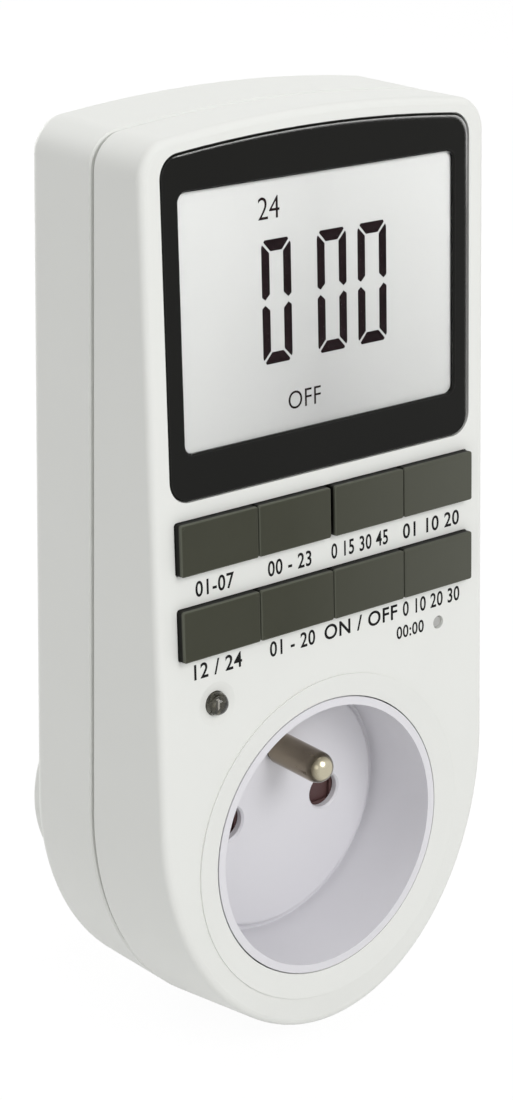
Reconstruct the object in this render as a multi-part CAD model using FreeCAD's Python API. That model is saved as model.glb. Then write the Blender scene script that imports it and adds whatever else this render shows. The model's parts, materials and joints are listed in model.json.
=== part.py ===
import FreeCAD, Part
import math
import os
from FreeCAD import Vector

os.makedirs("parts", exist_ok=True)

# Frame, in mm: +X to the right seen from the front, +Y from the front towards the wall socket, +Z up.
# The origin is the centre of the plug's flat end, midway between the two plug pins.

# whole body
plug_reach = 17.5          # plug boss, from the back of the case to its flat end
body_depth = 31.5          # front to back on the socket's axis
front_y = -(plug_reach + body_depth)
back_y = -plug_reach
front_depth = 17.0         # front to parting line, on the socket's axis
joint_y = front_y + front_depth
socket_z = 6.5             # socket axis above the plug axis
lean_deg = 3.9             # the front leans back by this much
wall = 2.0                 # side walls of both case halves
front_wall = 2.4
back_wall = 2.2
joint_gap = 0.7            # shadow line between the case halves
joint_edge = 0.25          # chamfers along that line
lip_play = 0.12            # lip of the rear half, inside the front half
lip_thick = 1.0
lip_reach = 1.6
skirt_set = 0.6            # foot of the lip, in from the side of the case
skirt_high = 2.0
skirt_lap = 0.2            # skirt, further in than the lip
rim_room = 5.0             # room ahead of the socket's rim, for cutters
past = 1.0                 # how far a cutter reaches past the face that it opens

# outline of the case, heights counted from the socket axis
front_half = 31.2
joint_half = front_half + 0.3
front_top = 107.4
back_top = front_top - 0.5
arch_rise = 2.2
top_corner = 5.0
front_belly = 9.4          # height of the widest point of the rounded bottom
front_drop = 39.0          # from there down to the lowest point
joint_belly = 7.0
joint_drop = 39.5
back_belly = 4.0
back_drop = 36.5
front_round = 1.1
back_round = 1.8

# display
panel_half = front_half - 3.25
panel_low = 56.6
panel_top = front_top - 2.4
panel_rise = 1.6
panel_corner = 3.2
panel_thick = 0.7
panel_gap = 0.15
panel_chamfer = 0.25
window_half = panel_half - 2.9
window_low = panel_low + 6.5
window_top = panel_top - 6.5
window_corner = 1.3
window_play = 0.05
window_inset = 0.15        # clear sheet set back from the frame's face
lcd_half = window_half + 0.95
lcd_low = window_low - 0.7
lcd_top = window_top + 0.9
lcd_thick = 2.0
lcd_gap = 0.1              # between the frame's back and the display glass
lcd_play = 0.12            # round the glass, in the front's opening and in its holder

holder_wall = 0.9
holder_top_play = 0.3
holder_side_rest = 3.0     # ledges that carry the glass: at the sides and top, and below
holder_low_rest = 4.5
lcd_corner = 0.4
lcd_step = 1.5             # ledge of the display glass for its contacts
strip_half = lcd_half - 4.2
strip_low = lcd_low + 1.75
strip_high = strip_low + 2.1

# keys, four in each of two rows
key_margin = 3.7           # from the last key to the side of the front
key_pitch = (front_half - key_margin) / 2
key_gap = 0.2
centre_gap = 0.8           # wider gap in the middle of the upper row
key_height = 7.4
key_proud = 1.4
key_play = 0.12            # all round, between a key and its slot
key_lip = 0.8              # lip behind the wall, above and below
key_lip_thick = 0.8
key_travel = 0.8
lip_gap = 0.05
upper_row = panel_low - 6.35
lower_row = upper_row - 12.35
key_edge = 0.25
key_corner = 0.35
key_side_wall = 1.4        # hollow back of a key
key_end_wall = 1.3
key_roof_depth = 0.4
key_stem = 1.6
key_stem_front = 0.2

# front boards, depths counted squarely from the front face
board_depth = 6.2
board_thick = 1.6
board_half = lcd_half + holder_wall + 0.3
board_low = 24.3
board_top = lcd_top + 0.6
board_corner = 1.0
mat_thick = 1.0
mat_side = 0.4             # mat, in from the ends of the rows
mat_rise = 1.2             # mat, above and below the keys
mat_corner = 1.5
dome_height = key_travel + 0.15
dome_base = 2.6
dome_tip = 1.9
post_radius = 2.2
post_floor = 1.4           # bottom of the screw holes in the front's posts
pilot_radius = 0.9
pilot_play = 0.2           # round a screw, in what it holds
screw_play = 0.02
low_post = (10.0, board_low + 3.5)
high_post = (board_half - 7.2, panel_low + 2.5)

# small front parts
led_x = 10.2 - front_half
led_z = 26.45
led_radius = 1.7
led_play = 0.1
led_dish_radius = 3.2      # shallow dish round the lamp
led_dish_deep = 0.5
led_neck = 0.1             # where the lamp's dome begins, behind the front
led_rim = 0.4
led_rim_thick = 1.0
led_leg = 0.3
led_leg_x = 1.0
reset_x = front_half - 9.4
reset_z = 28.3
reset_radius = 0.95
reset_play = 0.06
reset_inset = 0.4
reset_travel = 0.4
reset_edge = 0.15
reset_flange = 1.7
reset_flange_thick = 0.7
reset_stem = 0.7
switch_half = 2.6
switch_high = 1.6
switch_cap = 1.3
switch_cap_high = 0.4
reset_stem_gap = reset_travel + 0.05

# socket
insert_radius = 21.2
recess_radius = insert_radius - 1.2
insert_play = 0.2
recess_depth = 12.5
floor_radius = recess_radius - 0.7     # raised disc that is the floor
floor_round = 0.7
floor_groove = 0.8         # between the disc and the recess's wall
floor_thick = 1.2
rim_inset = 0.4
dish_radius = insert_radius + 3.8      # ring with a raised edge, its face sloping in to the rim
dish_rise = 0.25
dish_depth = 0.5
hole_offset = 9.5          # line and neutral holes, either side of the axis
hole_radius = 2.75
hole_bevel = 0.3
earth_offset = 10.0        # earth pin above the line of the holes
pin_radius = 2.4
earth_tip = 1.3            # tip of the earth pin, behind the rim
earth_stop = 3.3
earth_stop_thick = 1.2
collar_thick = 1.85
collar_depth = 5.3
flange_thick = 1.6
flange_radius = insert_radius + 3.4
flange_play = 0.3          # round the case's posts
ear_x = front_half - 5.6
ear_z = 4.0
ear_floor = 1.5            # bottom of the screw holes beside the socket

# shutter behind the socket floor
shutter_travel = 6.2
shutter_thick = 1.3
shutter_play = 0.1
guide_play = 0.15          # round the shutter, in the contact block
shutter_ramp_half = 2.2
shutter_ramp_deep = 0.5
shutter_half = 13.6
shutter_low = -7.0
shutter_high = 11.0
tongue_half = 4.6
tongue_high = 20.0
slot_half = 2.7
spring_low = -19.0
spring_wire = 0.25         # wire radius
spring_coil = 1.35         # coil radius to the middle of the wire
spring_turns = 7
spring_play = 0.02
seat_half = 2.2
seat_high = 1.5
seat_depth = 3.4
seat_play = 0.2

# contact block and contacts
carrier_radius = recess_radius + 0.4
carrier_room = 1.8         # from the contact block to the back wall, for straps and wires
leaf_thick = 0.6
leaf_gap = 4.6
leaf_half = 3.4
leaf_narrow = 0.4          # leaves, narrower than their foot above and below
leaf_play = 0.4
leaf_room_front = 1.0      # front of the contacts' chambers
foot_half = 3.7
pass_radius = 2.6          # hole in contacts and strips for a pin that is put in
contact_set = 2.2          # mouth of the contacts, behind the front of the block
strap_thick = 0.8
strap_half = 3.0
bar_reach = 13.3           # free end of the neutral bar
bar_rise = 1.4             # its top, above the neutral plug pin's axis
tab_half = 1.5             # soldering tab of the live contact
tab_low = pass_radius + 0.1
tab_top = 6.0
tab_thick = 0.3

# plug boss and pins
boss_radius = 19.2
boss_inner = 15.3
boss_face = 2.5
boss_round = 0.7
groove_half = 2.2
groove_deep = 1.8
link_gap = 0.5             # earth link, clear of the plug pin
link_wide = 2.6
link_thick = 0.8
link_out = 1.9             # its leg, further out than the plug pin's clearance
link_foot = 1.0            # its lower end, above the plug's axis
link_rise = 2.6            # its upper end, above the earth pin's axis
link_room = 0.2            # from the back wall
link_lap = 0.1             # where its bent parts meet
earth_pin_end = 0.5        # earth pin and link, behind the contact block
pin_length = 19.0
pin_play = 0.05
pin_nose = 1.2
pin_nose_in = 0.8
pin_neck = 2.2             # thinner stem of the pins, up to just outside the moulding
neck_reach = 0.6
pin_collar = 3.3
pin_collar_thick = 1.4
earth_hole = 2.9
tube_radius = 3.2
tube_floor = 1.0
tube_slit_half = 0.4
tube_slit_start = 2.5
clip_half = 3.0
clip_thick = 0.8
clip_play = 0.2
clip_room = 0.5            # behind a clip, for its spring
clip_near = -2.6
clip_far = -14.7
clip_set = 0.3             # ends of the clips, in from the boss
clip_bow = 0.7             # bend at their middle
clip_tip_in = 0.1
strap_short = 0.6          # strap between the clips, in from their faces

# screws that hold the case, and their posts
case_top_x = 12.0
case_top_z = front_top - 5.1
case_low_x = front_half - 8.8
case_low_z = -10.0
front_post = 2.5
rear_post = 3.2
case_pilot = 1.1
case_hole = 1.6
head_hole = 2.6
head_hole_deep = 3.4
head_radius = 2.35
head_high = 1.8
case_screw_reach = 7.0     # ends of the screws, ahead of the parting line
case_pilot_deep = 9.0
post_set = 0.5             # posts, in from the outside of the case
front_post_play = 0.2
front_post_short = 0.5     # ends of the front's posts, ahead of the parting line
head_edge_share = 0.4      # of a screw head's height
slot_long_share = 1.1      # cross slot, of the head's radius
slot_thin_share = 0.16
slot_deep_share = 0.55

# power board at the back
power_front = 3.2          # its front face, counted from the back wall's inner face
power_thick = 1.6
power_half = front_half - 4.7
power_low = 36.0
power_high = front_top - 6.4
power_post_x = power_half - 4.0
power_post_low = power_low + 4.0
power_post_high = power_high - 4.0
power_pilot_deep = 2.6     # below the back of the board

# parts on the power board; places are shares of its half width and of its height
relay_at = (0.547, 0.377)
relay_wide = 12.0
relay_long = 29.0
relay_high = 10.6
relay_round = 0.8
film_at = (-0.689, 0.354)
film_wide = 8.5
film_long = 18.0
film_high = 10.8
film_round = 1.2
can_at = (-0.302, 0.369)
can_radius = 4.0
can_high = 11.0
can_round = 0.5
disc_at = (-0.611, 0.615)
disc_radius = 4.5
disc_thick = 3.6
disc_lift = 5.6
battery_at = (-0.226, 0.738)
battery_radius = 6.0
battery_high = 5.4
diode_at = (0.113, 0.169)
diode_radius = 1.3
diode_long = 5.0
diode_pitch = 3.2
resistor_at = (0.519, 0.723)
resistor_radius = 1.6
resistor_long = 7.5
resistor_pitch = 4.0
bead_lift = 0.05           # under the small round parts
leg_radius = 0.35
leg_reach = 2.5
diode_count = 4
resistor_count = 3

# parts on the back of the front board
blob_at = (-6.0, 46.0)
blob_half = 6.6
blob_high = 2.0
crystal_at = (8.0, 42.0)
crystal_radius = 1.5
crystal_long = 8.0

# cable and wires
cable_half = 6.0
cable_thick = 0.9
cable_at = 65.5
cable_rise = 2.5
cable_play = 0.15          # from the leaning board to the cable's square end
live_radius = 0.75
load_radius = 0.7
neutral_radius = 0.6
wire_play = 0.05           # from the back wall

small_head_radius = 1.8
small_head_high = 1.2
board_screw_long = 5.2
ear_screw_long = 4.2
power_screw_long = 3.9

back_inner_y = back_y - back_wall
power_front_y = back_inner_y - power_front
power_back_y = power_front_y + power_thick
floor_y = front_y + recess_depth
floor_back_y = floor_y + floor_thick
carrier_back_y = back_inner_y - carrier_room
wire_y = back_inner_y - carrier_room / 2
lcd_depth = panel_thick + lcd_gap
lcd_back = lcd_depth + lcd_thick


def save(shape, name):
    """Write one piece to its own file."""
    shape.exportStep(os.path.join("parts", name + ".step"))


def box(x0, x1, y0, y1, z0, z1):
    return Part.makeBox(x1 - x0, y1 - y0, z1 - z0, Vector(x0, y0, z0))


def rod(radius, x, z, y0, y1):
    """Round bar along Y from y0 to y1."""
    return Part.makeCylinder(radius, y1 - y0, Vector(x, y0, z), Vector(0, 1, 0))


def cone(radius0, radius1, x, z, y0, y1):
    return Part.makeCone(radius0, radius1, y1 - y0, Vector(x, y0, z), Vector(0, 1, 0))


def bar(radius, start, end):
    """Round bar between any two points."""
    a = Vector(*start)
    b = Vector(*end)
    return Part.makeCylinder(radius, (b - a).Length, a, b - a)


def lean(shape):
    """Tip a piece drawn square to the front back to the front's real slope."""
    tipped = shape.copy()
    tipped.rotate(Vector(0, front_y, socket_z), Vector(1, 0, 0), -lean_deg)
    return tipped


def quarter(shape):
    """Turn a piece of the plug a quarter turn about the plug's axis."""
    turned = shape.copy()
    turned.rotate(Vector(0, 0, 0), Vector(0, 1, 0), 90)
    return turned


def flat_box(u0, u1, v0, v1, w0, w1):
    """Box across, into and up the front; depths from the face, heights from the socket axis."""
    return box(u0, u1, front_y + v0, front_y + v1, socket_z + w0, socket_z + w1)


def flat_rod(radius, u, w, v0, v1):
    return rod(radius, u, socket_z + w, front_y + v0, front_y + v1)


def round_box(u0, u1, v0, v1, w0, w1, corner):
    """Flat box with its four corners rounded, seen from the front."""
    block = flat_box(u0, u1, v0, v1, w0, w1)
    edges = [e for e in block.Edges if abs(e.tangentAt(e.FirstParameter).y) > 0.9]
    return block.makeFillet(corner, edges)


def circle_point(centre_z, radius, angle, y):
    return Vector(radius * math.cos(angle), y, centre_z + radius * math.sin(angle))


def case_outline(half, top, belly, drop, y, inset):
    """Closed outline of the case at depth y: arched top, straight sides, rounded bottom."""
    w = half - inset
    peak = socket_z + top - inset
    corner = max(top_corner - inset, 0.5)
    arch = (w * w + arch_rise * arch_rise) / (2 * arch_rise)
    arch_z = peak - arch
    corner_x = w - corner
    corner_z = arch_z + math.sqrt((arch - corner) ** 2 - corner_x ** 2)
    turn = math.atan2(corner_z - arch_z, corner_x)
    side_z = socket_z + belly
    low = drop - inset
    right_top = circle_point(arch_z, arch, turn, y)
    left_top = Vector(-right_top.x, y, right_top.z)
    right_mid = Vector(corner_x + corner * math.cos(turn / 2), y, corner_z + corner * math.sin(turn / 2))
    left_mid = Vector(-right_mid.x, y, right_mid.z)
    ellipse = Part.Ellipse(Vector(0, y, side_z - low), Vector(w, y, side_z), Vector(0, y, side_z))
    edges = [
        Part.Arc(right_top, Vector(0, y, peak), left_top).toShape(),
        Part.Arc(left_top, left_mid, Vector(-w, y, corner_z)).toShape(),
        Part.makeLine(Vector(-w, y, corner_z), Vector(-w, y, side_z)),
        Part.ArcOfEllipse(ellipse, -math.pi / 2, 0).toShape(),
        Part.ArcOfEllipse(ellipse, 0, math.pi / 2).toShape(),
        Part.makeLine(Vector(w, y, side_z), Vector(w, y, corner_z)),
        Part.Arc(Vector(w, y, corner_z), right_mid, right_top).toShape(),
    ]
    return Part.Wire(Part.__sortEdges__(edges))


def front_outline(depth, inset):
    return lean(case_outline(front_half, front_top, front_belly, front_drop, front_y + depth, inset))


def joint_outline(y, inset):
    return case_outline(joint_half, back_top, joint_belly, joint_drop, y, inset)


def back_outline(y, inset):
    return case_outline(front_half, back_top, back_belly, back_drop, y, inset)


def loft(*outlines):
    """Straight-sided solid through two or more outlines."""
    return Part.makeLoft(list(outlines), True, True)


def edges_near_wire(shape, wire, tolerance):
    """Edges of a shape that run along a given outline."""
    found = []
    for edge in shape.Edges:
        middle = edge.valueAt((edge.FirstParameter + edge.LastParameter) / 2)
        if wire.distToShape(Part.Vertex(middle))[0] < tolerance:
            found.append(edge)
    return found


def rims_at(shape, y):
    """Round edges of a turned piece that lie at depth y."""
    return [e for e in shape.Edges if e.Closed and abs(e.CenterOfMass.y - y) < 0.01]


def panel_shape(inset, v0, v1):
    """Arched display panel, drawn square to the front."""
    w = panel_half - inset
    peak = socket_z + panel_top - inset
    low = socket_z + panel_low + inset
    shoulder = peak - panel_rise
    y = front_y + v0
    arch = Part.Arc(Vector(-w, y, shoulder), Vector(0, y, peak), Vector(w, y, shoulder)).toShape()
    edges = [
        arch,
        Part.makeLine(Vector(w, y, shoulder), Vector(w, y, low)),
        Part.makeLine(Vector(w, y, low), Vector(-w, y, low)),
        Part.makeLine(Vector(-w, y, low), Vector(-w, y, shoulder)),
    ]
    face = Part.Face(Part.Wire(Part.__sortEdges__(edges)))
    plate = face.extrude(Vector(0, v1 - v0, 0))
    upright = [e for e in plate.Edges if abs(e.tangentAt(e.FirstParameter).y) > 0.9]
    return plate.makeFillet(panel_corner - inset, upright)


def row_spans(middle):
    """Left and right end of each of the four keys of a row; middle is the gap at the centre."""
    spans = []
    for number in range(4):
        left = (number - 2) * key_pitch
        right = left + key_pitch
        left_gap = middle if number == 2 else key_gap
        right_gap = middle if number == 1 else key_gap
        if number == 0:
            left_gap = 0.0
        if number == 3:
            right_gap = 0.0
        spans.append((left + left_gap / 2, right - right_gap / 2))
    return spans


def case_posts():
    """The four places where screws join the case halves."""
    places = []
    for side in (-1, 1):
        places.append((side * case_top_x, socket_z + case_top_z))
        places.append((side * case_low_x, socket_z + case_low_z))
    return places


def board_posts():
    places = []
    for side in (-1, 1):
        places.append((side * low_post[0], low_post[1]))
        places.append((side * high_post[0], high_post[1]))
    return places


def power_posts():
    places = []
    for side in (-1, 1):
        places.append((side * power_post_x, power_post_low))
        places.append((side * power_post_x, power_post_high))
    return places


def front_housing():
    end = joint_y - joint_gap / 2
    outer = loft(joint_outline(end, joint_edge), joint_outline(end - joint_edge, 0), front_outline(0, 0))
    outer = outer.makeFillet(front_round, edges_near_wire(outer, front_outline(0, 0), 0.01))
    hollow = loft(joint_outline(joint_y + past, wall), front_outline(front_wall, wall))
    shell = outer.cut(hollow)
    collar_back = front_y + collar_depth
    bore = insert_radius + insert_play
    supports = rod(bore + collar_thick, 0, socket_z, front_y - past, collar_back)
    for x, z in case_posts():
        supports = supports.fuse(rod(front_post, x, z, front_y - past, joint_y - front_post_short))
    for side in (-1, 1):
        post = rod(post_radius, side * ear_x, socket_z + ear_z, front_y - past, collar_back)
        supports = supports.fuse(post)
    for u, w in board_posts():
        supports = supports.fuse(lean(flat_rod(post_radius, u, w, front_wall / 2, board_depth)))
    shell = shell.fuse(supports.common(outer))
    shell = shell.fuse(lean(flat_rod(dish_radius, 0, 0, -dish_rise, front_wall / 2)))
    cuts = [rod(bore, 0, socket_z, front_y - rim_room, collar_back + past)]
    cuts.append(lean(dish_cutter()))
    cuts.append(lean(panel_shape(-panel_gap, -past, panel_thick)))
    lcd_reach = lcd_half + lcd_play
    opening = flat_box(-lcd_reach, lcd_reach, 0, front_wall + past, lcd_low - lcd_play, lcd_top + lcd_play)
    cuts.append(lean(opening))
    slot_half = 2 * key_pitch + key_play
    for row in (upper_row, lower_row):
        low = row - key_height / 2 - key_play
        high = row + key_height / 2 + key_play
        corner = key_corner + key_play
        cuts.append(lean(round_box(-slot_half, slot_half, -past, front_wall + past, low, high, corner)))
    cuts.append(lean(flat_rod(led_radius + led_play, led_x, led_z, -past, front_wall + past)))
    cuts.append(lean(led_dish()))
    cuts.append(lean(flat_rod(reset_radius + reset_play, reset_x, reset_z, -past, front_wall + past)))
    for x, z in case_posts():
        cuts.append(rod(case_pilot, x, z, joint_y - case_pilot_deep, joint_y + past))
    for side in (-1, 1):
        pilot = rod(pilot_radius, side * ear_x, socket_z + ear_z, front_y + ear_floor, collar_back + past)
        cuts.append(pilot)
    for u, w in board_posts():
        cuts.append(lean(flat_rod(pilot_radius, u, w, post_floor, board_depth + past)))
    for cutter in cuts:
        shell = shell.cut(cutter)
    return largest(shell)


def dish_cutter():
    """Shallow funnel from the ring's edge down to the socket's rim."""
    points = [
        Vector(0, front_y - past, socket_z),
        Vector(dish_radius, front_y - past, socket_z),
        Vector(dish_radius, front_y - dish_rise, socket_z),
        Vector(insert_radius, front_y + dish_depth, socket_z),
        Vector(0, front_y + dish_depth, socket_z),
        Vector(0, front_y - past, socket_z),
    ]
    face = Part.Face(Part.makePolygon(points))
    return face.revolve(Vector(0, front_y, socket_z), Vector(0, 1, 0), 360)


def led_dish():
    """Ball that cuts the shallow dish round the lamp."""
    radius = (led_dish_radius ** 2 + led_dish_deep ** 2) / (2 * led_dish_deep)
    return Part.makeSphere(radius, Vector(led_x, front_y + led_dish_deep - radius, socket_z + led_z))


def largest(shape):
    """The biggest solid of a cut shape, cleaned of seams."""
    solids = sorted(shape.Solids, key=lambda s: s.Volume)
    return solids[-1].removeSplitter()


def rear_housing():
    start = joint_y + joint_gap / 2
    edge = start + joint_edge
    outer = loft(joint_outline(start, joint_edge), joint_outline(edge, 0), back_outline(back_y, 0))
    outer = outer.makeFillet(back_round, edges_near_wire(outer, back_outline(back_y, 0), 0.01))
    hollow = loft(joint_outline(joint_y - past, wall), back_outline(back_inner_y, wall))
    shell = outer.cut(hollow)
    boss = rod(boss_radius, 0, 0, back_y - back_wall / 2, 0)
    boss = boss.makeFillet(boss_round, rims_at(boss, 0))
    shell = shell.fuse(boss)
    shell = shell.fuse(joint_lip())
    posts = []
    for x, z in case_posts():
        posts.append(rod(rear_post, x, z, joint_y, back_y - post_set))
    for x, z in power_posts():
        posts.append(rod(post_radius, x, z, power_back_y, back_y - post_set))
    envelope = loft(joint_outline(joint_y, post_set), back_outline(back_y, post_set))
    for post in posts:
        shell = shell.fuse(post.common(envelope))
    cuts = [rod(boss_inner, 0, 0, back_inner_y - past, -boss_face)]
    for side in (-1, 1):
        cuts.append(rod(pin_neck + pin_play, 0, side * hole_offset, -boss_face - past, past))
        cuts.append(rod(pin_radius + pin_play, 0, side * hole_offset, -neck_reach, past))
        groove = box(boss_radius - groove_deep, boss_radius + past, back_y, past, -groove_half, groove_half)
        groove = groove if side > 0 else groove.mirror(Vector(0, 0, 0), Vector(1, 0, 0))
        cuts.append(quarter(groove))
        cuts.append(quarter(clip_slot(side)))
    cuts.append(rod(earth_hole, earth_offset, 0, -boss_face - past, past))
    for x, z in case_posts():
        cuts.append(rod(case_hole, x, z, joint_y - past, back_y + past))
        cuts.append(rod(head_hole, x, z, back_y - head_hole_deep, back_y + past))
    for x, z in power_posts():
        cuts.append(rod(pilot_radius, x, z, power_back_y - past, power_back_y + power_pilot_deep))
    for cutter in cuts:
        shell = shell.cut(cutter)
    return largest(shell)


def joint_lip():
    """Thin lip of the rear half that reaches inside the front half."""
    play = wall + lip_play
    lip_foot = joint_y + past
    outside = loft(joint_outline(lip_foot, play), front_outline(front_wall, play))
    inside = loft(joint_outline(lip_foot, play + lip_thick), front_outline(front_wall, play + lip_thick))
    reach = 2 * joint_half
    band = box(-reach, reach, joint_y - lip_reach, lip_foot, -reach, socket_z + front_top + past)
    lip = outside.cut(inside).common(band)
    for x, z in case_posts():
        lip = lip.cut(rod(front_post + front_post_play, x, z, joint_y - lip_reach - past, joint_y))
    skirt_inset = play + lip_thick - skirt_lap
    skirt_back = joint_y + skirt_high
    skirt = loft(joint_outline(joint_y + joint_gap / 2, skirt_set), joint_outline(skirt_back, skirt_set))
    skirt_hole = loft(joint_outline(joint_y, skirt_inset), joint_outline(skirt_back + past, skirt_inset))
    return lip.fuse(skirt.cut(skirt_hole))


def clip_slot(side):
    """Slot in the plug boss for one of the two earth clips."""
    half = clip_half + clip_play
    deep = clip_thick + clip_play + clip_room
    far = clip_far - clip_play
    groove = box(-half, half, far, clip_near + 2 * clip_play, boss_radius - deep, boss_radius + past)
    window = box(-half, half, far, clip_far + clip_thick + clip_play, boss_inner - past, boss_radius + past)
    slot = groove.fuse(window)
    return slot if side > 0 else slot.mirror(Vector(0, 0, 0), Vector(0, 0, 1))


def display_frame():
    plate = panel_shape(0, 0, panel_thick)
    window = round_box(
        -window_half, window_half, -past, panel_thick + past, window_low, window_top, window_corner)
    plate = plate.cut(window)
    face_edges = [e for e in plate.Edges if abs(e.CenterOfMass.y - front_y) < 0.001]
    return lean(plate.makeChamfer(panel_chamfer, face_edges))


def display_window():
    play = window_play
    sheet = round_box(
        -window_half + play, window_half - play, window_inset, panel_thick,
        window_low + play, window_top - play, window_corner - play)
    return lean(sheet)


def lcd_panel():
    middle = lcd_depth + lcd_thick / 2
    front = round_box(-lcd_half, lcd_half, lcd_depth, middle, lcd_low, lcd_top, lcd_corner)
    rear = round_box(-lcd_half, lcd_half, middle, lcd_back, lcd_low + lcd_step, lcd_top, lcd_corner)
    return lean(front.fuse(rear).removeSplitter())


def lcd_holder():
    """Tray that holds the display glass against the front and stands on the board."""
    depth = front_wall + lcd_gap
    reach = lcd_half + lcd_play
    side = lcd_half + holder_wall
    rest = lcd_half - holder_side_rest
    outer = flat_box(-side, side, depth, board_depth, lcd_low - holder_wall, lcd_top + holder_top_play)
    inner = flat_box(-reach, reach, depth - past, lcd_back, lcd_low - lcd_play, lcd_top + past)
    through = flat_box(
        -rest, rest, depth, board_depth + past, lcd_low + holder_low_rest, lcd_top - holder_side_rest)
    strip_side = strip_half + lcd_play
    strip = flat_box(
        -strip_side, strip_side, depth, board_depth + past, strip_low - lcd_play, strip_high + lcd_play)
    return lean(outer.cut(inner).cut(through).cut(strip))


def contact_strip():
    """Elastic strip that joins the display glass to the board."""
    return lean(flat_box(-strip_half, strip_half, lcd_back, board_depth, strip_low, strip_high))


def key(left, right, row):
    """Key cap with its lip, skirt and stem."""
    low = row - key_height / 2
    high = row + key_height / 2
    cap = round_box(left, right, -key_proud, front_wall + lip_gap, low, high, key_corner)
    rim = [e for e in cap.Edges if abs(e.CenterOfMass.y - (front_y - key_proud)) < 0.001]
    cap = cap.makeFillet(key_edge, rim)
    lip_back = front_wall + lip_gap + key_lip_thick
    lip = flat_box(left, right, front_wall + lip_gap, lip_back, low - key_lip, high + key_lip)
    cap = cap.fuse(lip).removeSplitter()
    hollow = flat_box(
        left + key_side_wall, right - key_side_wall, key_roof_depth, lip_back + past,
        low + key_end_wall, high - key_end_wall)
    stem = flat_rod(key_stem, (left + right) / 2, row, key_stem_front, lip_back)
    return lean(cap.cut(hollow).fuse(stem).removeSplitter())


def keypad_mat():
    sheet_front = board_depth - mat_thick
    low = lower_row - key_height / 2 - mat_rise
    high = upper_row + key_height / 2 + mat_rise
    half = 2 * key_pitch - mat_side
    mat = round_box(-half, half, sheet_front, board_depth, low, high, mat_corner)
    for row, middle in ((upper_row, centre_gap), (lower_row, key_gap)):
        for left, right in row_spans(middle):
            u = (left + right) / 2
            w = socket_z + row
            dome_foot = front_y + sheet_front
            mat = mat.fuse(cone(dome_tip, dome_base, u, w, dome_foot - dome_height, dome_foot))
    return lean(mat)


def control_board():
    back = board_depth + board_thick
    board = round_box(-board_half, board_half, board_depth, back, board_low, board_top, board_corner)
    for u, w in board_posts():
        board = board.cut(flat_rod(pilot_radius + pilot_play, u, w, board_depth - past, back + past))
    return lean(board)


def indicator_led():
    lens = flat_rod(led_radius, led_x, led_z, led_neck, front_wall)
    dome = Part.makeSphere(led_radius, Vector(led_x, front_y + led_neck, socket_z + led_z))
    dome = dome.common(flat_rod(led_radius + past, led_x, led_z, -led_radius - past, led_neck))
    foot = flat_rod(led_radius + led_rim, led_x, led_z, front_wall, front_wall + led_rim_thick)
    lamp = lens.fuse(dome).fuse(foot)
    for side in (-1, 1):
        leg_x = led_x + side * led_leg_x
        lamp = lamp.fuse(flat_rod(led_leg, leg_x, led_z, front_wall + led_rim_thick / 2, board_depth))
    return lean(lamp.removeSplitter())


def reset_button():
    flange_front = front_wall + lip_gap
    flange_back = flange_front + reset_flange_thick
    stem_end = board_depth - switch_high - switch_cap_high - reset_stem_gap
    plunger = flat_rod(reset_radius, reset_x, reset_z, reset_inset, flange_back + lip_gap)
    plunger = plunger.makeChamfer(reset_edge, rims_at(plunger, front_y + reset_inset))
    flange = flat_rod(reset_flange, reset_x, reset_z, flange_front, flange_back)
    stem = flat_rod(reset_stem, reset_x, reset_z, flange_front, stem_end)
    return lean(plunger.fuse(flange).fuse(stem).removeSplitter())


def reset_switch():
    top = board_depth - switch_high
    body = flat_box(
        reset_x - switch_half, reset_x + switch_half, top, board_depth,
        reset_z - switch_half, reset_z + switch_half)
    cap = flat_rod(switch_cap, reset_x, reset_z, top - switch_cap_high, top)
    return lean(body.fuse(cap).removeSplitter())


def clock_chip():
    """Moulded blob over the clock circuit, on the back of the front board."""
    back = board_depth + board_thick
    radius = (blob_half ** 2 + blob_high ** 2) / (2 * blob_high)
    centre = Vector(blob_at[0], front_y + back + blob_high - radius, socket_z + blob_at[1])
    slab = flat_box(blob_at[0] - 2 * blob_half, blob_at[0] + 2 * blob_half, back, back + 2 * blob_high,
                    blob_at[1] - 2 * blob_half, blob_at[1] + 2 * blob_half)
    return lean(Part.makeSphere(radius, centre).common(slab))


def crystal():
    y = front_y + board_depth + board_thick + crystal_radius
    x = crystal_at[0]
    z = socket_z + crystal_at[1]
    return lean(bar(crystal_radius, (x, y, z), (x, y, z + crystal_long)))


def socket_insert():
    start = front_y + collar_depth
    end = start + flange_thick
    outer = rod(insert_radius, 0, socket_z, front_y - rim_room, floor_back_y)
    flange = rod(flange_radius, 0, socket_z, start, end)
    for side in (-1, 1):
        x = side * case_low_x
        flange = flange.cut(rod(front_post + flange_play, x, socket_z + case_low_z, start - past, end + past))
        flange = flange.fuse(rod(post_radius, side * ear_x, socket_z + ear_z, start, end))
    cup = outer.fuse(flange)
    disc = rod(floor_radius, 0, socket_z, floor_y, floor_back_y)
    disc = disc.makeFillet(floor_round, rims_at(disc, floor_y))
    recess = rod(recess_radius, 0, socket_z, front_y - rim_room - past, floor_y + floor_groove)
    cup = cup.cut(recess.cut(disc))
    reach = 2 * insert_radius
    cup = cup.cut(lean(flat_box(-reach, reach, -2 * rim_room, rim_inset, -reach, reach)))
    for side in (-1, 1):
        x = side * hole_offset
        cup = cup.cut(rod(hole_radius, x, socket_z, floor_y - past, floor_back_y + past))
        cup = cup.cut(cone(hole_radius + hole_bevel, hole_radius, x, socket_z, floor_y, floor_y + hole_bevel))
        ear_hole = rod(pilot_radius + pilot_play, side * ear_x, socket_z + ear_z, start - past, end + past)
        cup = cup.cut(ear_hole)
    cup = cup.cut(rod(pin_neck + pin_play, 0, socket_z + earth_offset, floor_y - past, floor_back_y + past))
    return largest(cup)


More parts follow.
